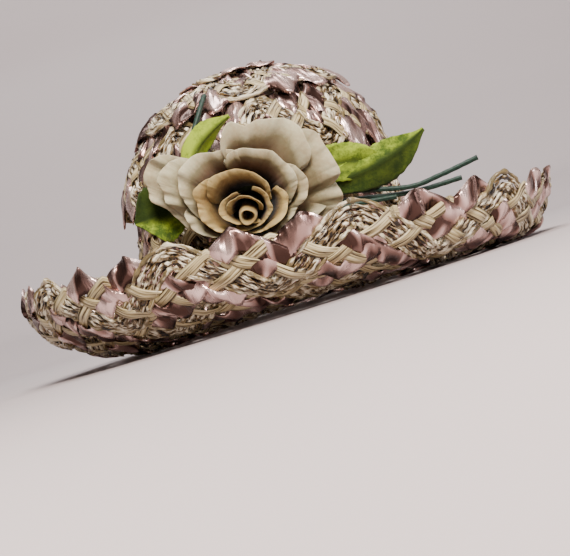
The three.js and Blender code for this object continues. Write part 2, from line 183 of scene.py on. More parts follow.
# Sections as radius and height: the crown's from its tip, the brim's from the head opening.
CROWN_MERIDIAN = [
    (0, 159), (24, 156.5), (49, 147.5), (65.5, 135), (77, 118), (83, 99), (84.5, 75), (85, 40),
    (86.5, CROWN_FOOT)]
BRIM_HIGH = [
    (85, 3.15), (94.5, 3.15), (103, 3.15), (114, 5.5), (132, 12), (150, 22), (161, 33), (168, 46),
    (169.5, 57), (166, 66)]
BRIM_LOW = [
    (85, 3.15), (94.5, 3.15), (103, 3.15), (127, 3.15), (150, 4), (162, 7), (171, 15), (178.5, 26),
    (183, 36), (184, 40.5)]
RUN_ON = 20


def measured_line(points, steps=1200):
    """A smooth line through points, each slope following its neighbours' chord, as length and
    place. It runs straight on for a while past its end."""
    p = np.array([points[0], *points, points[-1]], float)
    t = np.linspace(0, len(points) - 1, steps)
    i = np.minimum(t.astype(int), len(points) - 2)
    f = (t - i)[:, None]
    a, b, c, d = p[i], p[i + 1], p[i + 2], p[i + 3]
    q = b + 0.5 * f * (c - a + f * (2 * a - 5 * b + 4 * c - d + f * (3 * (b - c) + d - a)))
    end = q[-1] - q[-8]
    q = np.vstack([q, q[-1] + RUN_ON * end / np.linalg.norm(end)])
    length = np.concatenate([[0], np.cumsum(np.linalg.norm(np.diff(q, axis=0), axis=1))])
    return length, q


crown_line = measured_line(CROWN_MERIDIAN)
high_line = measured_line(BRIM_HIGH)
low_line = measured_line(BRIM_LOW)
HIGH_LENGTH, LOW_LENGTH = high_line[0][-2], low_line[0][-2]
BRIM_WIDTH = (HIGH_LENGTH + LOW_LENGTH) / 2


def at_length(line, s):
    """Radius and height at a length along a measured line."""
    return np.interp(s, line[0], line[1][:, 0]), np.interp(s, line[0], line[1][:, 1])


def crown_surface(s, a):
    """Crown: its meridian at a length from the tip, carried round an oval, leaning slightly to
    one side and arched at the front."""
    radius, height = at_length(crown_line, s)
    near_foot = np.clip(1 - (height - CROWN_FOOT) / ARCH_FADE, 0, None)
    z = height + FRONT_ARCH * np.clip(np.cos(a), 0, None) ** 2 * near_foot
    stretch = OVAL * np.minimum(1, radius / OPENING_HALF_WIDTH)
    x = radius * np.sin(a) + CROWN_LEAN * (z - CROWN_FOOT)
    return np.stack([x, -(radius + stretch) * np.cos(a), z], -1) + AXIS


def brim_surface(s, a):
    """Brim: the section passes from the high side's line to the low side's with the sine of
    the angle, carried round the same oval."""
    r1, z1 = at_length(high_line, s / BRIM_WIDTH * HIGH_LENGTH)
    r2, z2 = at_length(low_line, s / BRIM_WIDTH * LOW_LENGTH)
    mix = (1 + np.sin(a)) / 2
    radius, height = r1 + (r2 - r1) * mix, z1 + (z2 - z1) * mix
    z = height + FRONT_ARCH * np.clip(np.cos(a), 0, None) ** 2
    return np.stack([radius * np.sin(a), -(radius + OVAL) * np.cos(a), z], -1) + AXIS


def stand_off(surface, s, a, h):
    """Points at a height off a surface, along the cross product of its two directions."""
    down = surface(s + 0.6, a) - surface(np.maximum(s - 0.6, 0), a)
    around = surface(s, a + 0.004) - surface(s, a - 0.004)
    normal = np.cross(down, around)
    normal /= np.linalg.norm(normal, axis=-1, keepdims=True) + 1e-9
    return surface(s, a) + normal * np.asarray(h)[..., None]


# Strands of the plait: kind, place of its top turn in a repeat, and how far its middle turns
# beyond the edges of the lanes, or short of them where it is negative.
STRANDS = [
    ("cords", 0.0, 3.0), ("raffia", 0.215, -5.0), ("satin", 0.375, 0.0), ("raffia", 0.56, -5.0),
    ("satin", 0.737, 0.0)]
STRAND_THICKNESS = {"cords": 3.2, "raffia": 0.8, "satin": 0.6}
BAND_WIDTH = {"raffia": 6.8, "satin": 13.5}
BAND_ROUNDING = {"raffia": 4.0, "satin": 6.5, "cords": 20.0}
CORD_OFFSETS = (-7.2, -3.6, 0.0, 3.6, 7.2)
CORD_RADIUS = 1.5
LANE_WIDTH = 39.0
CROSSING_GAP = 0.5
# A cord is taken to be this many times as long as the row that it runs through.
CORD_TAKE_UP = 1.27
# The third value of a point's lay tells the strands apart: a band's number, or for a cord this
# value and its offset.
CORD_LAY = 10.0


def zigzag(t, repeat, height, rounding):
    """A strand's middle: straight lanes from turn to turn, rounded with a parabola at each.
    Gives the height and the lane's direction, 1 falling and -1 rising."""
    part = t - np.round(t)
    d = np.abs(part) * repeat
    near = np.minimum(d, repeat / 2 - d)
    rounded = np.where(near < rounding / 2, near ** 2 / rounding + rounding / 4, near)
    slope = height / (repeat / 2)
    y = np.where(d < repeat / 4, height / 2 - slope * rounded, -height / 2 + slope * rounded)
    return y, np.sign(part) * np.clip(near / (rounding / 2), 0, 1)


def crossings(index):
    """Places in a repeat where a strand meets the others, with its height at each: under, over,
    under, over in both lanes, and level at its turns."""
    own = STRANDS[index][1]
    keys = [(0.0, 0.0), (0.5, 0.0)]
    others = [strand for k, strand in enumerate(STRANDS) if k != index]
    ahead = sorted(((strand[1] - own) % 1, STRAND_THICKNESS[strand[0]]) for strand in others)
    behind = sorted(
        (((own - strand[1]) % 1, STRAND_THICKNESS[strand[0]]) for strand in others), reverse=True)
    for k, (gap, thickness) in enumerate(ahead):
        keys.append((gap / 2, (1 if k % 2 else -1) * (thickness / 2 + CROSSING_GAP)))
    for k, (gap, thickness) in enumerate(behind):
        keys.append((1 - gap / 2, (1 if k % 2 else -1) * (thickness / 2 + CROSSING_GAP)))
    return np.array(sorted(keys))


def eased(keys, t):
    """The value between key places of a repeat, eased out of one and into the next."""
    x = np.concatenate([[keys[-1, 0] - 1], keys[:, 0], [keys[0, 0] + 1]])
    y = np.concatenate([[keys[-1, 1]], keys[:, 1], [keys[0, 1]]])
    t = t % 1
    i = np.clip(np.searchsorted(x, t, side="right") - 1, 0, len(x) - 2)
    f = (t - x[i]) / (x[i + 1] - x[i])
    return y[i] + (y[i + 1] - y[i]) * f * f * (3 - 2 * f)


def wander(t, repeats, waves, random):
    """Smooth random wandering that closes on itself after all the repeats: a sum of sines."""
    out = np.zeros_like(t)
    for wave in waves:
        out += np.sin(2 * np.pi * np.round(wave * repeats) * t / repeats + random.uniform(0, 2 * np.pi))
    return out / np.sqrt(len(waves))


def band_strip(kind, index, repeats, repeat, random):
    """A flat strand as phase, height across the plait and height off it: its middle's zigzag
    moved up and down across its width, so that its turns come out as pointed corners."""
    _, place, peak = STRANDS[index]
    steps = {"satin": 60, "raffia": 44}[kind]
    t = np.arange(repeats * steps) / steps
    half = BAND_WIDTH[kind] / 2
    slope = LANE_WIDTH / (repeat / 2)
    upright = half * np.sqrt(1 + slope ** 2)
    sides = np.linspace(-1, 1, 7 if kind == "satin" else 5)
    v = np.concatenate([sides, sides[-2:0:-1]])
    face = np.concatenate([np.ones(len(sides)), -np.ones(len(sides) - 2)])
    t, v = t[:, None] + 0 * v, v + 0 * t[:, None]
    y, lane = zigzag(t, repeat, LANE_WIDTH + 2 * peak, BAND_ROUNDING[kind])
    width = 1 + 0.05 * wander(t, repeats, (2.3, 3.1, 5.2), random)
    phase = t - v * upright / (2 * slope * repeat) * lane
    h = eased(crossings(index), phase)
    edge = np.sqrt(np.clip(1 - v ** 2, 0, 1))
    if kind == "satin":
        turn = np.abs(t - np.round(t * 2) / 2) * repeat
        pleat = np.exp(-(turn / 7) ** 2)
        h = h + face * (0.15 + 0.45 * (1 - v ** 4)) + 1.9 * np.exp(-turn / 4)
        h += 0.9 * v * lane + 0.75 * wander(t + 0.05 * v, repeats, (3.1, 5.3, 7.7), random)
        h += 0.5 * pleat * np.sin(2 * v + 2 * wander(t, repeats, (1, 2), random))
        y = y + 0.5 * wander(t, repeats, (1.3, 2.2, 4.1), random)
    else:
        h = h + face * (0.15 + 0.35 * edge) + 0.25 * wander(t, repeats, (2, 5, 8), random)
        y = y + 0.5 * wander(t, repeats, (1.1, 2.4), random)
    y = y + v * upright * width
    lay = np.stack([t * repeat * np.sqrt(1 + slope ** 2), v * half, 0 * t + index], -1)
    return t + place, y, h, lay


def cord_strip(offset, repeats, repeat, steps, random):
    """One cord of the bundle: a tube, knobbly and twisted, that runs beside the bundle's middle
    at its own distance, so that the cords turn back in nested loops."""
    _, place, peak = STRANDS[0]
    t = np.arange(repeats * steps) / steps
    y, lane = zigzag(t, repeat, LANE_WIDTH + 2 * peak, BAND_ROUNDING["cords"])
    slope = (LANE_WIDTH + 2 * peak) / (repeat / 2)
    length = np.sqrt(1 + (lane * slope) ** 2)
    nx, ny = lane * slope / length, 1 / length
    y = y + 0.5 * wander(t, repeats, (1.7, 3.3, 6.1), random)
    x = t * repeat + offset * nx
    y = y + offset * ny
    phase = t - offset / (2 * slope * repeat) * lane
    h = eased(crossings(0), phase) + 0.6 * wander(t, repeats, (2.1, 5.3, 9.7), random)
    turn = np.linspace(0, 2 * np.pi, 7, endpoint=False)
    far = t * repeat * CORD_TAKE_UP
    knob = 1 + 0.3 * wander(t, repeats, (8, 12, 17, 24), random)
    r = CORD_RADIUS * knob[:, None] * (1 + 0.1 * np.cos(2 * turn - 2 * np.pi * far[:, None] / 7))
    x = x[:, None] + r * np.cos(turn) * nx[:, None]
    y = y[:, None] + r * np.cos(turn) * ny[:, None]
    h = h[:, None] + r * np.sin(turn)
    far = far[:, None] + 0 * turn
    lay = np.stack([far, CORD_RADIUS * turn + 0 * far, 0 * x + CORD_LAY + offset], -1)
    return x / repeat + place, y, h, lay


# Satin ribbon: smooth dyed filament, pressed into soft creases, with a metallic gleam.
satin, satin_shader = new_finish("satin_ribbon", Roughness=0.27, Metallic=0.8, IOR=1.5)
lay_satin = add_node(satin, "ShaderNodeAttribute", attribute_name="lay").outputs["Vector"]
# Pressed folds are about 16 mm apart along the ribbon and slant across it, and creases about
# 5 mm apart lie between them.
fold = add_node(satin, "ShaderNodeTexNoise", {
    "Scale": 1.0, "Detail": 1.0, "Roughness": 0.4, "Distortion": 0.3}, {
    "Vector": add_node(satin, "ShaderNodeMapping", {"Scale": (0.062, 0.05, 3.0), "Rotation": (0, 0, 0.7)},
                       {"Vector": lay_satin}).outputs["Vector"]})
# The folds' noise also paints the colour: dark painted shade, the ribbon's own mauve, and pale pink
# painted highlights.
satin_painted_light_tone = add_node(satin, "ShaderNodeValToRGB", links={"Fac": fold.outputs["Fac"]})
satin_painted_light_tone.color_ramp.elements[0].position = 0.41
satin_painted_light_tone.color_ramp.elements[0].color = to_linear("#523a33")
satin_painted_light_tone.color_ramp.elements[1].position = 0.57
satin_painted_light_tone.color_ramp.elements[1].color = to_linear("#f2d2ca")
satin_painted_light_tone.color_ramp.elements.new(0.49).color = to_linear("#b38f86")
crease = add_node(satin, "ShaderNodeTexNoise", {
    "Scale": 1.0, "Detail": 1.0, "Roughness": 0.4, "Distortion": 1.0}, {
    "Vector": add_node(satin, "ShaderNodeMapping", {"Scale": (0.22, 0.07, 5.0)},
                       {"Vector": lay_satin}).outputs["Vector"]})
crease_bump = add_node(satin, "ShaderNodeBump", {"Strength": 0.6, "Distance": 0.0015},
                       {"Height": crease.outputs["Fac"]})
fold_bump = add_node(satin, "ShaderNodeBump", {"Strength": 1.0, "Distance": 0.012},
                     {"Height": fold.outputs["Fac"], "Normal": crease_bump.outputs["Normal"]})
satin.node_tree.links.new(satin_painted_light_tone.outputs["Color"], satin_shader.inputs["Base Color"])
satin.node_tree.links.new(fold_bump.outputs["Normal"], satin_shader.inputs["Normal"])

# Raffia: split palm leaf, dry and pale, with ribs about 1 mm apart along its length.
raffia, raffia_shader = new_finish("raffia_band", Roughness=0.42, IOR=1.45)
lay_raffia = add_node(raffia, "ShaderNodeAttribute", attribute_name="lay").outputs["Vector"]
ribs = add_node(raffia, "ShaderNodeTexNoise", {"Scale": 1.0, "Detail": 3.0}, {
    "Vector": add_node(raffia, "ShaderNodeMapping", {"Scale": (0.04, 1.0, 7.0)},
                       {"Vector": lay_raffia}).outputs["Vector"]})
# The ribs' tone is the straw's own streaks, with painted shade at its darkest end and painted highlight at
# its palest.
raffia_tone_and_painted_light = add_node(raffia, "ShaderNodeValToRGB", links={"Fac": ribs.outputs["Fac"]})
raffia_tone_and_painted_light.color_ramp.elements[0].position = 0.38
raffia_tone_and_painted_light.color_ramp.elements[0].color = to_linear("#3a2a16")
raffia_tone_and_painted_light.color_ramp.elements[1].position = 0.64
raffia_tone_and_painted_light.color_ramp.elements[1].color = to_linear("#d6c8a2")
raffia_tone_and_painted_light.color_ramp.elements.new(0.48).color = to_linear("#a39168")
rib_bump = add_node(raffia, "ShaderNodeBump", {"Strength": 0.8, "Distance": 0.001},
                    {"Height": ribs.outputs["Fac"]})
raffia.node_tree.links.new(raffia_tone_and_painted_light.outputs["Color"], raffia_shader.inputs["Base Color"])
raffia.node_tree.links.new(rib_bump.outputs["Normal"], raffia_shader.inputs["Normal"])

# Straw cord: two plies of lacquered straw twisted together, glossy and golden brown, with
# knots about 8 mm apart, painted pale as highlights. Fibres a little over 1 mm apart slant along it.
cord, cord_shader = new_finish("twisted_straw_cord", Roughness=0.26, IOR=1.5)
lay_cord = add_node(cord, "ShaderNodeAttribute", attribute_name="lay").outputs["Vector"]
fibre = add_node(cord, "ShaderNodeTexNoise", {"Scale": 1.0, "Detail": 2.0}, {
    "Vector": add_node(cord, "ShaderNodeMapping", {"Scale": (0.22, 0.75, 7.0), "Rotation": (0, 0, 0.6)},
                       {"Vector": lay_cord}).outputs["Vector"]})
knots = add_node(cord, "ShaderNodeTexNoise", {"Scale": 1.0, "Detail": 1.0}, {
    "Vector": add_node(cord, "ShaderNodeMapping", {"Scale": (0.13, 0.1, 3.0)},
                       {"Vector": lay_cord}).outputs["Vector"]})
fibre_and_knots = add_node(
    cord, "ShaderNodeMath", links={0: fibre.outputs["Fac"], 1: knots.outputs["Fac"]}, operation="ADD")
mean = add_node(cord, "ShaderNodeMath", {1: 0.5}, {0: fibre_and_knots.outputs[0]}, operation="MULTIPLY")
# Fibres and knots run from near-black painted shade through the straw's golden brown to near-white painted
# highlight.
cord_tone_and_painted_light = add_node(cord, "ShaderNodeValToRGB", links={"Fac": mean.outputs[0]})
cord_tone_and_painted_light.color_ramp.elements[0].position = 0.42
cord_tone_and_painted_light.color_ramp.elements[0].color = to_linear("#1f150b")
cord_tone_and_painted_light.color_ramp.elements[1].position = 0.59
cord_tone_and_painted_light.color_ramp.elements[1].color = to_linear("#f4ead0")
cord_tone_and_painted_light.color_ramp.elements.new(0.49).color = to_linear("#755e3c")
knot_bump = add_node(cord, "ShaderNodeBump", {"Strength": 1.0, "Distance": 0.002},
                     {"Height": fibre_and_knots.outputs[0]})
# The two outermost cords of the bundle are plainer straw.
cord_parts = add_node(cord, "ShaderNodeSeparateXYZ", links={"Vector": lay_cord})
from_middle = add_node(
    cord, "ShaderNodeMath", {1: CORD_LAY}, {0: cord_parts.outputs["Z"]}, operation="SUBTRACT")
outermost = add_node(cord, "ShaderNodeMath", links={0: from_middle.outputs[0]}, operation="ABSOLUTE")
plain_share = add_node(cord, "ShaderNodeMapRange", {"From Min": 5.0, "From Max": 7.0, "To Max": 0.4},
                       {"Value": outermost.outputs[0]})
cord_colour = add_node(cord, "ShaderNodeMix", links={
    "Factor": plain_share.outputs["Result"], "A": cord_tone_and_painted_light.outputs["Color"]}, data_type="RGBA")
cord_colour.inputs["B"].default_value = to_linear("#9c8a60")
cord.node_tree.links.new(cord_colour.outputs["Result"], cord_shader.inputs["Base Color"])
cord.node_tree.links.new(knot_bump.outputs["Normal"], cord_shader.inputs["Normal"])

# Rows of the plait: surface, the CAD row's ends, the plait's middle, the share of its full
# width, repeats round the hat, first turn in degrees, and which way is up along the section.
ROWS = [
    ("crown_tip_row", crown_surface, 0, 34, 18, 0.6, 3, 20, -1),
    ("crown_upper_row", crown_surface, 26, 80, 53, 0.98, 6, 35, -1),
    ("crown_side_row", crown_surface, 72, 128, 99, 1.08, 8, 10, -1),
    ("crown_lower_row", crown_surface, 120, 176, 148, 1.0, 8, 40, -1),
    ("crown_foot_row", crown_surface, 168, 209, 188, 0.74, 8, 12, -1),
    ("brim_inner_row", brim_surface, 0, 47, 24, 0.86, 7, 5, 1),
    ("brim_middle_row", brim_surface, 39, 83, 61, 0.98, 9, 28, 1),
    ("brim_upturned_row", brim_surface, 75, 119, 91, 1.0, 10, 15, 1),
]
LAP = 8.0
LAP_LIFT = 1.8
# The crown's rows stand off at their free edges from here on down, the most at one angle.
FREE_FROM = 40
FREE_EDGE, LOOSE_EDGE, LOOSE_ANGLE, LOOSE_SPREAD = 2.6, 6.4, 4.6, 0.6
FLOOR_CLEARANCE = 0.4


def woven_row(name, surface, start, stop, middle, share, repeats, first, upward, seed):
    """One row: each strand's phase becomes the angle round the hat, and its height across the
    plait the distance along the section. The row's start lies under its neighbour and its end
    over the next row."""
    random = np.random.default_rng(seed)
    ring = surface(np.full(400, float(middle)), np.linspace(0, 2 * np.pi, 401)[:-1])
    repeat = np.linalg.norm(np.diff(np.vstack([ring, ring[:1]]), axis=0), axis=1).sum() / repeats
    strips = []
    for index, (kind, _, _) in enumerate(STRANDS):
        if kind == "cords":
            steps = 84 if name == "brim_upturned_row" else 60
            strips += [(2, cord_strip(o, repeats, repeat, steps, random)) for o in CORD_OFFSETS]
        else:
            strips.append((0 if kind == "satin" else 1, band_strip(kind, index, repeats, repeat, random)))
    outward = 1 if surface is crown_surface else -1
    points, faces, lays, finish = [], [], [], []
    count = 0
    for slot, (phase, y, h, lay) in strips:
        s = middle + upward * y * share
        a = np.radians(first) + 2 * np.pi * phase / repeats
        free = LAP_LIFT + 0 * a
        if surface is crown_surface and start > FREE_FROM:
            loose = np.exp(-((np.mod(a, 2 * np.pi) - LOOSE_ANGLE) / LOOSE_SPREAD) ** 2)
            free = FREE_EDGE + LOOSE_EDGE * loose
        lift = np.clip((s - start - LAP / 2) / (stop - start - LAP), 0, 1) * (free + LAP_LIFT) - LAP_LIFT
        p = stand_off(surface, s, a, lift + outward * h)
        p[..., 2] = np.maximum(p[..., 2], FLOOR_CLEARANCE)
        quads = grid_faces(p.shape[0], p.shape[1], True, True, count)
        a0, b0, c0 = (p.reshape(-1, 3)[quads[:, k] - count] for k in (0, 1, 2))
        if np.einsum("ij,ij->i", a0, np.cross(b0, c0)).sum() < 0:
            quads = quads[:, ::-1]
        points.append(p.reshape(-1, 3))
        lays.append(lay.reshape(-1, 3))
        faces.append(quads)
        finish.append(np.full(len(quads), slot))
        count += p.shape[0] * p.shape[1]
    row = add_mesh(name + "_plait", np.vstack(points), np.vstack(faces), [satin, raffia, cord],
                   np.concatenate(finish), np.vstack(lays))
    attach(row, "root")
    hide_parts(name)


for seed, row_values in enumerate(ROWS):
    woven_row(*row_values, seed=seed + 11)


# Spray: laid out as seen from the front, right, up and near from the rose's heart. The
# rose nods forward, wound on a stiffened seat whose neck is sewn to the crown.
TURN, NOD = np.radians(17.3), np.radians(15)
RIGHT = np.array([np.cos(TURN), 0, -np.sin(TURN)])
UP = np.array([np.sin(TURN), 0, np.cos(TURN)])
NEAR = np.array([0.0, -1, 0])
HEART = np.array([-12.0, -144, 61]) + AXIS
ROSE_OUT = NEAR * np.cos(NOD) + np.cross(RIGHT, NEAR) * np.sin(NOD)
ROSE_UP = UP * np.cos(NOD) + np.cross(RIGHT, UP) * np.sin(NOD)
FLOWER_HEIGHT = 38
SEAT = HEART - FLOWER_HEIGHT * ROSE_OUT


def spray_point(p):
    """Right, up and near from the rose's heart, as a place in the hat's frame."""
    p = np.asarray(p, float)
    return HEART + p[..., :1] * RIGHT + p[..., 1:2] * UP + p[..., 2:3] * NEAR


def rose_point(right, up, out):
    """Right, up and out along the rose's own axis, from its seat."""
    return SEAT + right[..., None] * RIGHT + up[..., None] * ROSE_UP + out[..., None] * ROSE_OUT


# Seat: buckram, a stiffened green gauze, dull and coarse, that the petals are glued to. The
# CAD's own solid is kept and takes this finish, its weave drawn about 1.4 mm coarse.
buckram, buckram_shader = new_finish("green_buckram", Roughness=0.9)
buckram_place = add_node(buckram, "ShaderNodeTexCoord").outputs["Object"]
gauze = add_node(buckram, "ShaderNodeTexNoise", {"Scale": 700.0, "Detail": 3.0}, {"Vector": buckram_place})
gauze_tone = add_node(buckram, "ShaderNodeValToRGB", links={"Fac": gauze.outputs["Fac"]})
gauze_tone.color_ramp.elements[0].color = to_linear("#2a3524")
gauze_tone.color_ramp.elements[1].color = to_linear("#56663f")
gauze_bump = add_node(buckram, "ShaderNodeBump", {"Strength": 0.5, "Distance": 0.0005},
                      {"Height": gauze.outputs["Fac"]})
buckram.node_tree.links.new(gauze_tone.outputs["Color"], buckram_shader.inputs["Base Color"])
buckram.node_tree.links.new(gauze_bump.outputs["Normal"], buckram_shader.inputs["Normal"])
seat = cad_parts["rose_seat"]
seat.data.materials.clear()
seat.data.materials.append(buckram)


# Stems: steel wire wound with a thin strip of dark green paper, each bent to its own line
# and fastened to the rose's seat.
STEMS = {
    "stem_left": [(-9, 24, -35.6), (-30, 34, -48), (-35, 47, -54), (-31, 66, -60), (-28, 77, -66)],
    "stem_upper": [(17, 8, -39.6), (59, 17, -50), (96, 20, -51), (115, 27, -50), (138, 38, -49)],
    "stem_middle": [(17, 3, -41), (60, 12, -53.3), (98, 17, -55), (129, 26, -53)],
    "stem_lower": [(14, -6, -43.2), (50, 6, -47), (75, 11.5, -46.5), (89, 14, -46)],
}
STEM_RADIUS = 1.6
STEM_SIDES = 12


def tube(path, radius, sides):
    """A round profile carried along a path, square to it, with flat ends."""
    ahead = np.gradient(path, axis=0)
    ahead /= np.linalg.norm(ahead, axis=1, keepdims=True)
    side = np.cross(ahead, [0.13, 0.2, 0.97])
    side /= np.linalg.norm(side, axis=1, keepdims=True)
    over = np.cross(side, ahead)
    turn = np.linspace(0, 2 * np.pi, sides, endpoint=False)
    ring = side[:, None] * np.cos(turn)[:, None] + over[:, None] * np.sin(turn)[:, None]
    points = path[:, None] + ring * np.broadcast_to(radius, len(path))[:, None, None]
    faces = [list(f) for f in grid_faces(len(path), sides, False, True)]
    last = (len(path) - 1) * sides
    faces += [list(range(sides))[::-1], list(range(last, last + sides))]
    return points.reshape(-1, 3), faces


# Stem paper: a dull strip, wound on at a slant, one lap about every 3.5 mm.
stem_wrap, stem_shader = new_finish("green_stem_paper", Roughness=0.6)
lay_stem = add_node(stem_wrap, "ShaderNodeAttribute", attribute_name="lay").outputs["Vector"]
winding = add_node(stem_wrap, "ShaderNodeTexWave", {"Scale": 0.1, "Distortion": 1.5, "Detail": 1.0}, {
    "Vector": add_node(stem_wrap, "ShaderNodeMapping", {"Rotation": (0, 0, 0.5)},
                       {"Vector": lay_stem}).outputs["Vector"]}, wave_profile="SAW")
wrap_tone = add_node(stem_wrap, "ShaderNodeValToRGB", links={"Fac": winding.outputs["Fac"]})
wrap_tone.color_ramp.elements[0].color = to_linear("#0f211a")
wrap_tone.color_ramp.elements[1].color = to_linear("#1d3d30")
wrap_bump = add_node(stem_wrap, "ShaderNodeBump", {"Strength": 0.7, "Distance": 0.0004},
                     {"Height": winding.outputs["Fac"]})
stem_wrap.node_tree.links.new(wrap_tone.outputs["Color"], stem_shader.inputs["Base Color"])
stem_wrap.node_tree.links.new(wrap_bump.outputs["Normal"], stem_shader.inputs["Normal"])
for name, points in STEMS.items():
    length, path = measured_line([spray_point(p) for p in points], 90)
    length, path = length[:-1], path[:-1]
    taper = 1 + 0.04 * np.sin(length * 0.9)
    p, faces = tube(path, STEM_RADIUS * taper, STEM_SIDES)
    turn = np.tile(np.linspace(0, 2 * np.pi, STEM_SIDES, endpoint=False), len(path))
    stem = add_mesh(name + "_wrapped", p, faces, [stem_wrap],
                    lay=np.stack([np.repeat(length, STEM_SIDES), STEM_RADIUS * turn, 0 * turn], -1))
    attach(stem, "root")
    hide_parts(name)


# Leaves: printed velvet, mottled in two greens, glued over a wire that draws a crease
# down the middle. Each is bent to its own curve, and its last value is how pale its print is.
LEAVES = {
    "leaf_upper_left": ([(-12, 24, -36), (-54, 27, -36), (-12, 62, -38)], 15, 0.6, -4, 30, 0.85),
    "leaf_lower_left": ([(-17, 9, -39.4), (-44, 9, -46), (-68, -3, -34)], 36, 0.7, 2, 10, 0.0),
    "leaf_right_back": ([(13, 22, -36), (46, 36, -50), (84, 37, -50)], 23, 0.62, 3, -5, 0.45),
    "leaf_right_front": ([(18, 16, -37.8), (72, 21, -41), (105, 55, -46)], 24, 0.66, -4, -8, 0.1),
}
STALK_PART, STALK_HALF_WIDTH = 0.22, 1.2
LEAF_WALL = 0.8


def leaf_grid(midrib, width, widest, fold, roll, rows=60, columns=20):
    """A blade: half widths follow a bent sine along the midrib, its two halves lift off the
    crease, and the edges ruffle. Gives points, the part along and the side, -1 to 1."""
    a, b, c = (spray_point(p) for p in midrib)
    u = np.linspace(0, 1, 400)[:, None]
    curve = a * (1 - u) ** 2 + 2 * b * u * (1 - u) + c * u ** 2
    far = np.concatenate([[0], np.cumsum(np.linalg.norm(np.diff(curve, axis=0), axis=1))])
    part = np.linspace(0, 1, rows)
    place = np.stack([np.interp(part * far[-1], far, curve[:, k]) for k in range(3)], -1)
    ahead = np.gradient(place, axis=0)
    ahead /= np.linalg.norm(ahead, axis=1, keepdims=True)
    side = np.cross(ahead, NEAR)
    side /= np.linalg.norm(side, axis=1, keepdims=True)
    angle = np.radians(roll) * part[:, None]
    side = side * np.cos(angle) + np.cross(ahead, side) * np.sin(angle)
    face = np.cross(side, ahead)
    blade = np.clip((part - STALK_PART) / (1 - STALK_PART), 0, 1)
    bend = np.log(0.5) / np.log((widest - STALK_PART) / (1 - STALK_PART))
    full = np.sin(np.pi * blade ** bend).clip(0) ** (0.7 + 0.7 * blade ** 3)
    half = STALK_HALF_WIDTH + (width / 2 - STALK_HALF_WIDTH) * full
    v = np.linspace(-1, 1, columns + 1)
    ruffle = 0.1 * width * np.sin(part[:, None] * 14 + 2.4 * v + width) * np.abs(v) ** 1.5 * full[:, None]
    teeth = 1 + 0.06 * np.abs(np.sin(part * 38 + 2 * np.sin(part * 9)))[:, None] * (np.abs(v) > 0.95)
    lift = 2.0 * fold * np.abs(v) ** 0.8 * np.sin(np.pi * blade)[:, None] + ruffle
    across = (v * half[:, None] * teeth)[..., None]
    points = place[:, None] + side[:, None] * across + face[:, None] * lift[..., None]
    return points, part[:, None] + 0 * v, v + 0 * part[:, None]


def add_wall(piece, thickness):
    """Gives a sheet its thickness, half to each side, with its edge closed."""
    wall = piece.modifiers.new("thickness", "SOLIDIFY")
    wall.thickness = thickness * MM
    wall.offset = 0
    wall.use_even_offset = False


# Velvet: dull, printed in greens that are mottled about 9 mm across, with painted shade along the crease.
# Its short pile is drawn 0.7 mm coarse, far coarser than real, so that it shows.
velvet, velvet_shader = new_finish(
    "printed_velvet", Roughness=0.9, Specular_IOR_Level=0.2, Sheen_Weight=0.1, Sheen_Roughness=0.4)
lay_leaf = add_node(velvet, "ShaderNodeAttribute", attribute_name="lay").outputs["Vector"]
leaf_place = add_node(velvet, "ShaderNodeTexCoord").outputs["Object"]
mottle = add_node(velvet, "ShaderNodeTexNoise", {"Scale": 110.0, "Detail": 5.0, "Roughness": 0.75},
                  {"Vector": leaf_place})
leaf_parts = add_node(velvet, "ShaderNodeSeparateXYZ", links={"Vector": lay_leaf})
printed = add_node(velvet, "ShaderNodeMath", {1: 0.2}, {
    0: leaf_parts.outputs["Z"], 2: mottle.outputs["Fac"]}, operation="MULTIPLY_ADD")
mottle_tone = add_node(velvet, "ShaderNodeValToRGB", links={"Fac": printed.outputs[0]})
mottle_tone.color_ramp.elements[0].position = 0.42
mottle_tone.color_ramp.elements[0].color = to_linear("#3b5016")
mottle_tone.color_ramp.elements[1].position = 0.66
mottle_tone.color_ramp.elements[1].color = to_linear("#93a82e")
# Painted shade: darker along the crease down the middle of each leaf.
vein_side = add_node(velvet, "ShaderNodeMath", links={0: leaf_parts.outputs["Y"]}, operation="ABSOLUTE")
crease_painted_shade = add_node(velvet, "ShaderNodeMapRange", {
    "From Min": 0.0, "From Max": 0.3, "To Min": 0.85, "To Max": 0.0}, {"Value": vein_side.outputs[0]})
leaf_colour = add_node(velvet, "ShaderNodeMix", links={"Factor": crease_painted_shade.outputs["Result"]},
                       data_type="RGBA")
velvet.node_tree.links.new(mottle_tone.outputs["Color"], leaf_colour.inputs["A"])
leaf_colour.inputs["B"].default_value = to_linear("#26330f")
# Painted shade darkens one half of each leaf, the less so the paler its print is.
painted_shade_half_share = add_node(velvet, "ShaderNodeMapRange", {
    "From Min": -0.45, "From Max": 0.0, "To Min": 0.0, "To Max": 0.95}, {"Value": leaf_parts.outputs["Y"]})
not_pale = add_node(
    velvet, "ShaderNodeMath", {0: 1.0}, {1: leaf_parts.outputs["Z"]}, operation="SUBTRACT")
half_painted_shade = add_node(velvet, "ShaderNodeMath", links={
    0: painted_shade_half_share.outputs["Result"], 1: not_pale.outputs[0]}, operation="MULTIPLY")
leaf_colour_half_shaded = add_node(velvet, "ShaderNodeMix", links={
    "Factor": half_painted_shade.outputs[0], "A": leaf_colour.outputs["Result"]}, data_type="RGBA")
leaf_colour_half_shaded.inputs["B"].default_value = to_linear("#1c2a06")
pile = add_node(velvet, "ShaderNodeTexNoise", {"Scale": 1400.0, "Detail": 2.0}, {"Vector": leaf_place})
pile_bump = add_node(velvet, "ShaderNodeBump", {"Strength": 0.6, "Distance": 0.0006},
                     {"Height": pile.outputs["Fac"]})
velvet.node_tree.links.new(leaf_colour_half_shaded.outputs["Result"], velvet_shader.inputs["Base Color"])
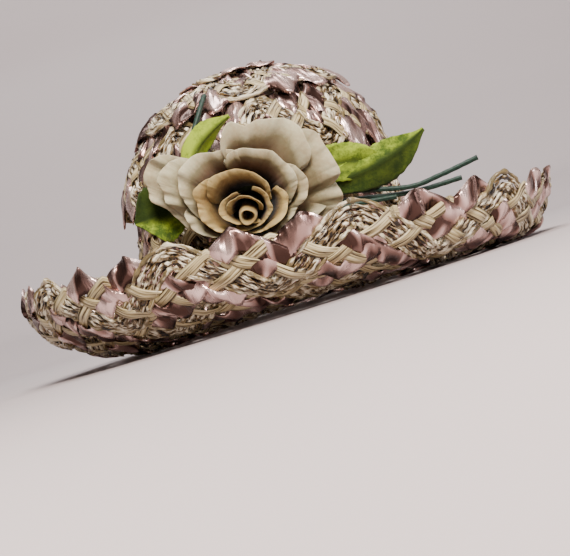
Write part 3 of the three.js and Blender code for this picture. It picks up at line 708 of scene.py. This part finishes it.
velvet.node_tree.links.new(pile_bump.outputs["Normal"], velvet_shader.inputs["Normal"])
for name, (*shape, pale) in LEAVES.items():
    points, part, side = leaf_grid(*shape)
    faces = grid_faces(*points.shape[:2], False, False)
    leaf = add_mesh(name + "_velvet", points.reshape(-1, 3), faces, [velvet],
                    lay=np.stack([part, side, 0 * part + pale], -1).reshape(-1, 3))
    add_wall(leaf, LEAF_WALL)
    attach(leaf, "root")
    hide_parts(name)


# Rose: petals of stiffened organza, cut singly and wound round a rolled heart, each glued
# to the seat at its foot. The inner ones are dyed tan, the outer ones greige.

# Petals: name, the angle round the rose of its middle and half its spread in degrees, radius at
# the foot, radius and height that the rim reaches, and ring.
PETALS = [
    ("rose_petal_bud_a", 100, 105, 6.6, 11, 37, "bud"),
    ("rose_petal_bud_b", 215, 100, 8.0, 14.5, 36, "bud"),
    ("rose_petal_bud_c", 340, 95, 9.4, 17.5, 35, "bud"),
    ("rose_petal_inner_a", 95, 85, 10.8, 23, 34, "inner"),
    ("rose_petal_inner_b", 195, 80, 12.2, 26.5, 33, "inner"),
    ("rose_petal_inner_c", 315, 75, 13.6, 29.2, 32, "inner"),
    ("rose_petal_middle_a", 55, 62, 15.0, 34.5, 30, "middle"),
    ("rose_petal_middle_b", 150, 60, 16.4, 38, 28, "middle"),
    ("rose_petal_middle_c", 345, 62, 16.4, 38.6, 27, "middle"),
    ("rose_petal_middle_d", 250, 60, 17.8, 41.5, 25, "middle"),
    ("rose_petal_outer_top", 72, 44, 17.8, 52, 24, "outer"),
    ("rose_petal_outer_left", 192, 45, 19.2, 51, 21, "outer"),
    ("rose_petal_outer_right", 15, 46, 19.2, 56, 20, "outer"),
    ("rose_petal_rim_left", 185, 36, 20.6, 59, 15, "outer"),
    ("rose_petal_rim_low", 335, 42, 20.6, 59, 15, "outer"),
]
# Rings of petals: how far each opens to the left of the rose's axis and above it, its cloth, and
# how much of the painted shade at the foot it skips: the outermost lie open and are pale nearly
# throughout.
RINGS = {
    "bud": (2, 5, "tan", 0.0), "inner": (6, 9, "tan", 0.0), "middle": (3, 12.5, "taupe", 0.06),
    "outer": (1, 18, "taupe", 0.3)}
PETAL_WALL = 0.5
LIFTED_CORNERS = {"rose_petal_outer_top": 10}


def petal_grid(turn, spread, base, reach, rise, left, up, curl, seed, rows=40):
    """A petal: a strip that widens from the seat into a cup about its ring's own middle, with
    its corners drawn down, its edge waving in sums of sines, and its rim turned outwards flat.
    The curl lifts one corner by that many mm, with a dip in the outline beside it."""
    random = np.random.default_rng(seed)
    columns = int(max(28, spread * 0.7))
    part = 1 - (1 - np.linspace(0, 1, rows)[:, None]) ** 1.4
    side = np.linspace(-1, 1, columns)[None]
    angle = np.radians(turn + side * spread)
    reached = part * (1 - 0.3 * side ** 4)
    outer = np.clip((reach - 14) / 36, 0, 1)
    opening = reached ** (1.25 + 0.35 * outer)
    wave, flutter = np.zeros_like(side), np.zeros_like(side)
    for k in (1.3, 2.2, 3.4, 5.1, 7.7):
        wave = wave + np.sin(k * np.pi * side / 1.5 + random.uniform(0, 6.28)) / k
        flutter = flutter + np.sin(k * np.pi * side / 1.2 + random.uniform(0, 6.28)) / k
    ripple = np.sin(13 * np.pi * side + 4 * flutter) * np.sin(2.6 * np.pi * side + wave)
    radius = base + (reach - 2.5 - 1.5 * outer - base) * opening + wave * (0.6 + 2.6 * outer) * opening
    out = 0.5 + rise * (1 - (1 - reached) ** 1.25) + flutter * (0.5 + 3.2 * outer) * opening
    edge = np.clip((part - 0.86) / 0.14, 0, 1)
    radius = radius + (1.6 + 1.5 * outer + 0.8 * flutter) * edge ** 1.3
    out = out - (0.4 + 0.5 * outer) * edge ** 2 + (0.3 + 1.3 * outer) * ripple * edge
    curled = curl * np.clip((side - 0.5) / 0.5, 0, 1) ** 2 * part ** 2
    radius = radius - 0.7 * curl * np.exp(-((side - 0.42) / 0.17) ** 2) * part ** 3
    out = out + curled
    radius = radius - 0.5 * curled
    across = radius * np.cos(angle) - left * opening
    above = radius * np.sin(angle) * (1 - 0.2 * opening) + up * opening
    return rose_point(across, above, out), part + 0 * side, side + 0 * part


# Organza: a sheer plain weave stiffened with size, soft and matt, that lets a little light in.
def organza(name, tones, stain):
    """Petal cloth: its colour runs from painted shade at the foot, deep in the cup, to a pale rim, through
    tones given as place and colour, and is stained by the dye. Threads are drawn 2 mm apart, far coarser
    than real."""
    material, shader = new_finish(
        name, Roughness=0.65, Sheen_Weight=0.08, Sheen_Roughness=0.4, Subsurface_Weight=0.05,
        Subsurface_Scale=0.002)
    lay = add_node(material, "ShaderNodeAttribute", attribute_name="lay").outputs["Vector"]
    place = add_node(material, "ShaderNodeTexCoord").outputs["Object"]
    parts = add_node(material, "ShaderNodeSeparateXYZ", links={"Vector": lay})
    dye = add_node(material, "ShaderNodeTexNoise", {"Scale": 55.0, "Detail": 9.0, "Roughness": 0.72},
                   {"Vector": place})
    dyed = add_node(material, "ShaderNodeMapRange", {"To Min": -0.12, "To Max": 0.12},
                    {"Value": dye.outputs["Fac"]})
    shade = add_node(material, "ShaderNodeMath", links={
        0: parts.outputs["X"], 1: dyed.outputs["Result"]}, operation="ADD")
    tone = add_node(material, "ShaderNodeValToRGB", links={"Fac": shade.outputs[0]})
    for end, (position, code) in zip(tone.color_ramp.elements, (tones[0], tones[-1])):
        end.position, end.color = position, to_linear(code)
    for position, code in tones[1:-1]:
        tone.color_ramp.elements.new(position).color = to_linear(code)
    spots = add_node(material, "ShaderNodeTexNoise", {"Scale": 48.0, "Detail": 9.0, "Roughness": 0.72},
                     {"Vector": place})
    spot_share = add_node(material, "ShaderNodeMapRange", {
        "From Min": 0.42, "From Max": 0.66, "To Max": 0.7}, {"Value": spots.outputs["Fac"]})
    stained = add_node(material, "ShaderNodeMix", links={"Factor": spot_share.outputs["Result"]},
                       data_type="RGBA", blend_type="MULTIPLY")
    material.node_tree.links.new(tone.outputs["Color"], stained.inputs["A"])
    stained.inputs["B"].default_value = to_linear(stain)
    fan = add_node(material, "ShaderNodeTexNoise", {"Scale": 1.0, "Detail": 2.0, "Distortion": 0.4}, {
        "Vector": add_node(material, "ShaderNodeMapping", {"Scale": (1.6, 5.0, 7.0)},
                           {"Vector": lay}).outputs["Vector"]})
    threads = add_node(material, "ShaderNodeTexWave", {"Scale": 170.0, "Distortion": 0.6},
                       {"Vector": place}, bands_direction="DIAGONAL")
    thread_bump = add_node(material, "ShaderNodeBump", {"Strength": 0.12, "Distance": 0.0003},
                           {"Height": threads.outputs["Fac"]})
    bump = add_node(material, "ShaderNodeBump", {"Strength": 0.5, "Distance": 0.0018},
                    {"Height": fan.outputs["Fac"], "Normal": thread_bump.outputs["Normal"]})
    material.node_tree.links.new(stained.outputs["Result"], shader.inputs["Base Color"])
    material.node_tree.links.new(bump.outputs["Normal"], shader.inputs["Normal"])
    return material


# The darker tones towards the foot are painted shade, near-black deepest in the cups; the palest is the
# cloth's own colour.
ORGANZA = {
    "tan": organza("tan_organza", [
        (0.36, "#0d0804"), (0.54, "#54401f"), (0.72, "#8f7645"), (0.99, "#b39d67")], "#a88a5c"),
    "taupe": organza("greige_organza", [
        (0.44, "#120d08"), (0.68, "#6f5742"), (0.86, "#7f7657"), (0.92, "#a49d7d"), (1.0, "#bfba9a")],
        "#d2b59c"),
}
for number, (name, turn, spread, base, reach, rise, ring) in enumerate(PETALS):
    left, up, tone, foot_shade_skipped = RINGS[ring]
    curl = LIFTED_CORNERS.get(name, 0)
    points, part, side = petal_grid(turn, spread, base, reach, rise, left, up, curl, number + 5)
    shown = foot_shade_skipped + (1 - foot_shade_skipped) * part
    faces = grid_faces(*points.shape[:2], False, False)
    petal = add_mesh(name + "_cloth", points.reshape(-1, 3), faces, [ORGANZA[tone]],
                     lay=np.stack([shown, side, 0 * part + number], -1).reshape(-1, 3))
    add_wall(petal, PETAL_WALL)
    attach(petal, "root")
    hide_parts(name)

# Heart: a strip of the tan organza rolled into a tight tube and open at its end. It stands on
# the seat, and the petals are wound round it.
HEART_PROFILE = [
    (0, 0.3), (4.6, 0.3), (5.2, 12), (5.4, 26), (5.3, 34), (5.1, 37), (4.6, 38.0), (4.1, 38.0),
    (3.6, 36.6), (3.1, 32), (2.6, 26), (2.2, 22.2), (0, 22)]
HEART_COLUMNS = 40
profile = measured_line(HEART_PROFILE, 60)[1][1:-2]
radius, out = profile[:, :1], profile[:, 1:]
turn = np.linspace(0, 2 * np.pi, HEART_COLUMNS, endpoint=False)
wobble = 1 + 0.05 * np.sin(3 * turn + 1)[None] * (out / FLOWER_HEIGHT)
points = rose_point(radius * np.cos(turn) * wobble, radius * np.sin(turn) * wobble, out + 0 * turn)
faces = [list(f) for f in grid_faces(len(profile), HEART_COLUMNS, False, True)]
last = (len(profile) - 1) * HEART_COLUMNS
faces += [list(range(HEART_COLUMNS))[::-1], list(range(last, last + HEART_COLUMNS))]
# Its colour runs by height, from painted shade low down by the seat to pale tan at its open end.
part = np.clip(out / FLOWER_HEIGHT, 0, 1) + 0 * turn
heart = add_mesh("rose_heart_roll", points.reshape(-1, 3), faces, [ORGANZA["tan"]],
                 lay=np.stack([part, 0 * part, 0 * part + 30], -1).reshape(-1, 3))
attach(heart, "root")
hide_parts("rose_heart")
